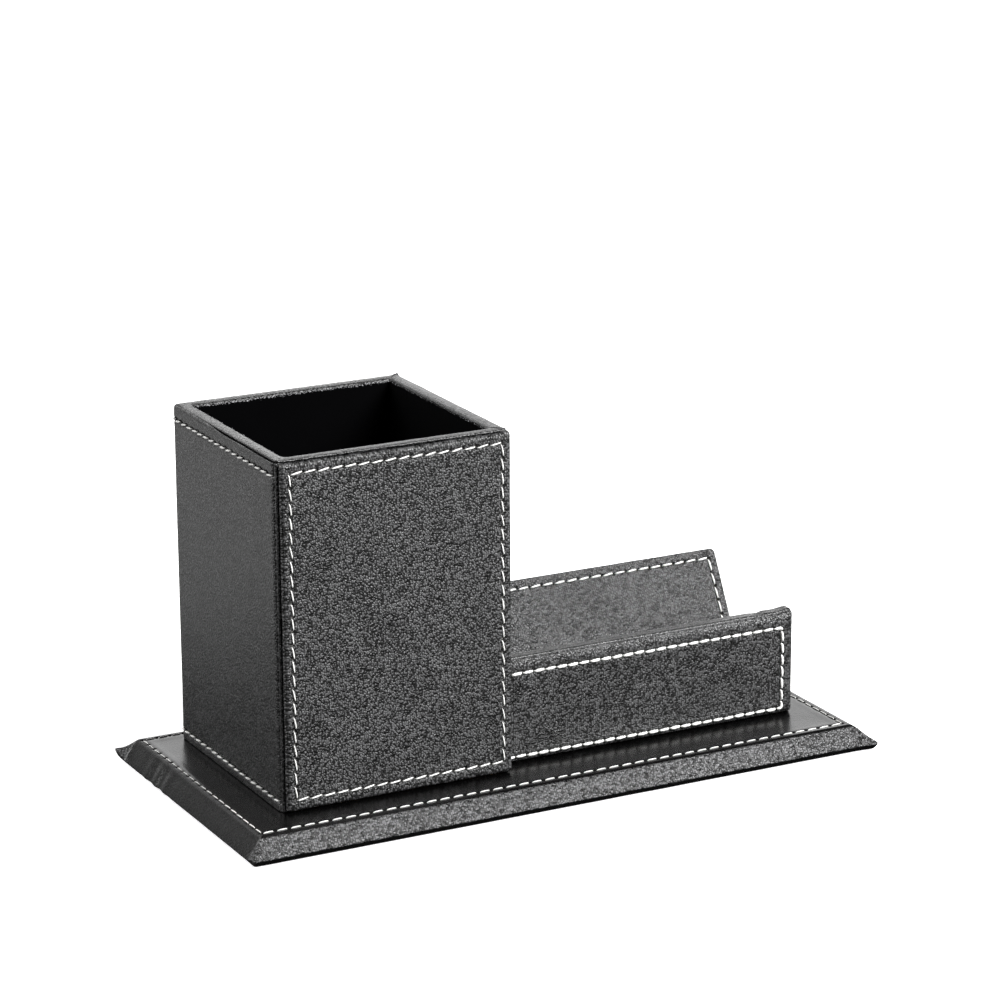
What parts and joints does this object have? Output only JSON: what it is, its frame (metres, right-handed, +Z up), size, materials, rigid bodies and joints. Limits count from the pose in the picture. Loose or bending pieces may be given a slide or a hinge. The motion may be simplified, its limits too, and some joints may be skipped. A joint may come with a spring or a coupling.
{
  "type": "pen holder",
  "caption": "Desk organiser: a square velvet-lined cup beside a low leaning slot on a bevelled plate, boards covered in stitched leather.",
  "frame": {"origin": "middle of the underside, on the surface it stands on", "axes": "+X along the plate from the cup to the slot's open end, +Y to the back, +Z up"},
  "size_m": [0.2, 0.097, 0.1092],
  "materials": {
    "black_leather": "black coated leather, fine pebble grain, semi-matte",
    "white_thread": "white twisted thread, slight sheen",
    "fibreboard": "raw fibreboard, sawn edges",
    "greyboard": "plain grey board",
    "black_velvet": "black velvet, short pile",
    "black_felt": "black pressed felt"
  },
  "bodies": {
    "root": {"base_felt": "black_felt", "base_board": "fibreboard", "base_leather": "black_leather", "base_thread": "white_thread", "cup_left_board": "fibreboard", "cup_right_board": "fibreboard", "cup_front_board": "fibreboard", "cup_back_board": "fibreboard", "cup_floor_board": "fibreboard", "cup_rim_leather": "black_leather", "cup_wrap_leather": "black_leather", "cup_wrap_thread": "white_thread", "cup_panel_stiffener": "greyboard", "cup_panel_leather": "black_leather", "cup_panel_thread": "white_thread", "cup_floor_lining": "black_velvet", "cup_left_lining": "black_velvet", "cup_right_lining": "black_velvet", "cup_front_lining": "black_velvet", "cup_back_lining": "black_velvet", "lip_board": "fibreboard", "lip_leather": "black_leather", "lip_panel_stiffener": "greyboard", "lip_panel_leather": "black_leather", "lip_panel_thread": "white_thread", "backrest_board": "fibreboard", "backrest_leather": "black_leather", "backrest_thread": "white_thread"}
  },
  "joints": []
}
